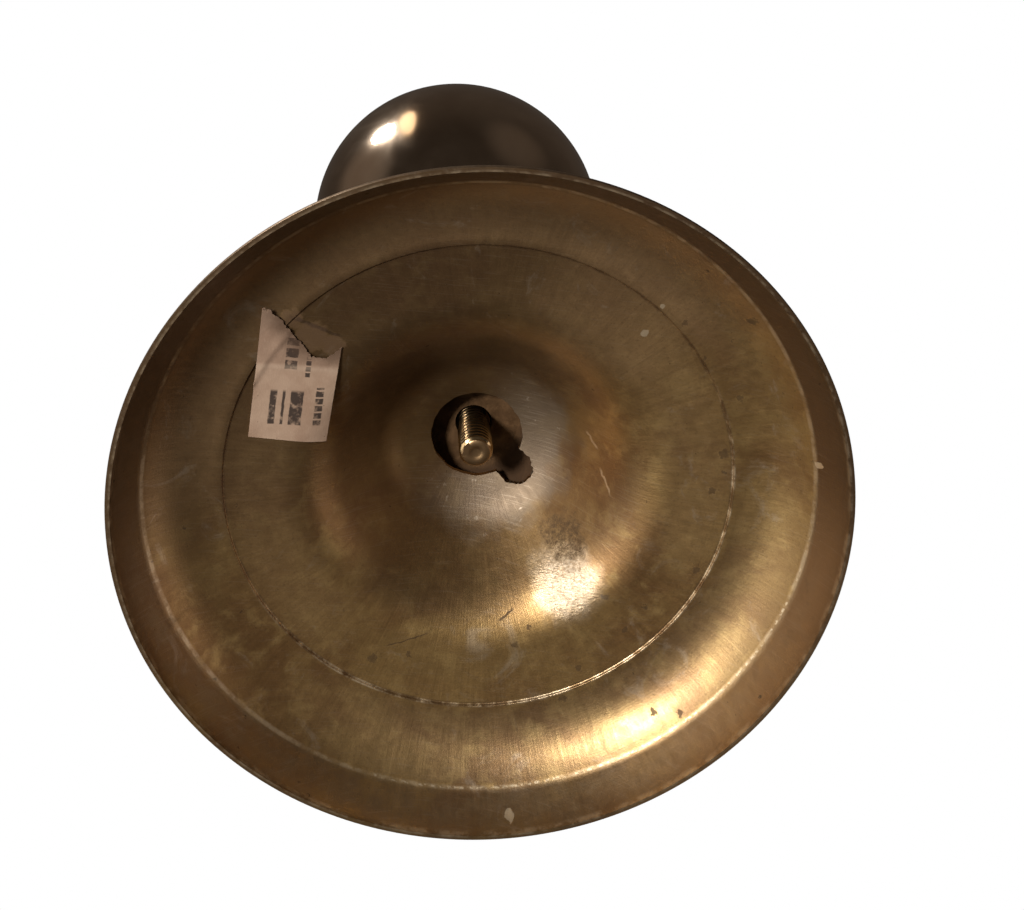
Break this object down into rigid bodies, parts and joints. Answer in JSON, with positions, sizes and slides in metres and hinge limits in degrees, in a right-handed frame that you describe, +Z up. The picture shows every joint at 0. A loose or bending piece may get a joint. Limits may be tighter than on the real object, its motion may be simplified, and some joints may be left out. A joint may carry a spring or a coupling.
{
  "type": "handbell",
  "caption": "Brass handbell without a clapper: wide shallow stepped shell, turned stem and a large ball grip that turns and lifts off its bare tie rod's seat.",
  "frame": {"origin": "centre of the shell's mouth, on the surface that the bell stands on", "axes": "+Z up along the bell's axis, from the mouth to the ball; the price label lies towards -X and -Y"},
  "size_m": [0.1338, 0.1338, 0.1777],
  "materials": {
    "shell_brass": "tarnished inside, worn satin outside",
    "ball_brass": "mirror polish with light wear",
    "stem_brass": "turned and polished",
    "rod_brass": "cut thread",
    "label_paper": "aged paper"
  },
  "bodies": {
    "shell": {"bell_shell": "shell_brass", "price_label": "label_paper"},
    "collar": {"crown_collar": "stem_brass"},
    "handle": {"tie_rod": "rod_brass", "stem_knop": "stem_brass", "stem_column": "stem_brass", "ball_cup": "stem_brass", "ball_boss": "rod_brass", "ball_grip": "ball_brass"}
  },
  "joints": [
    {"name": "collar_turn", "type": "hinge", "parent": "shell", "child": "collar", "pos_m": [0, 0, 0.045], "axis": [0, 0, 1], "continuous": true},
    {"name": "handle_lift", "type": "slide", "parent": "collar", "child": "handle", "axis": [0, 0, 1], "range_m": [0, 0.06]}
  ]
}
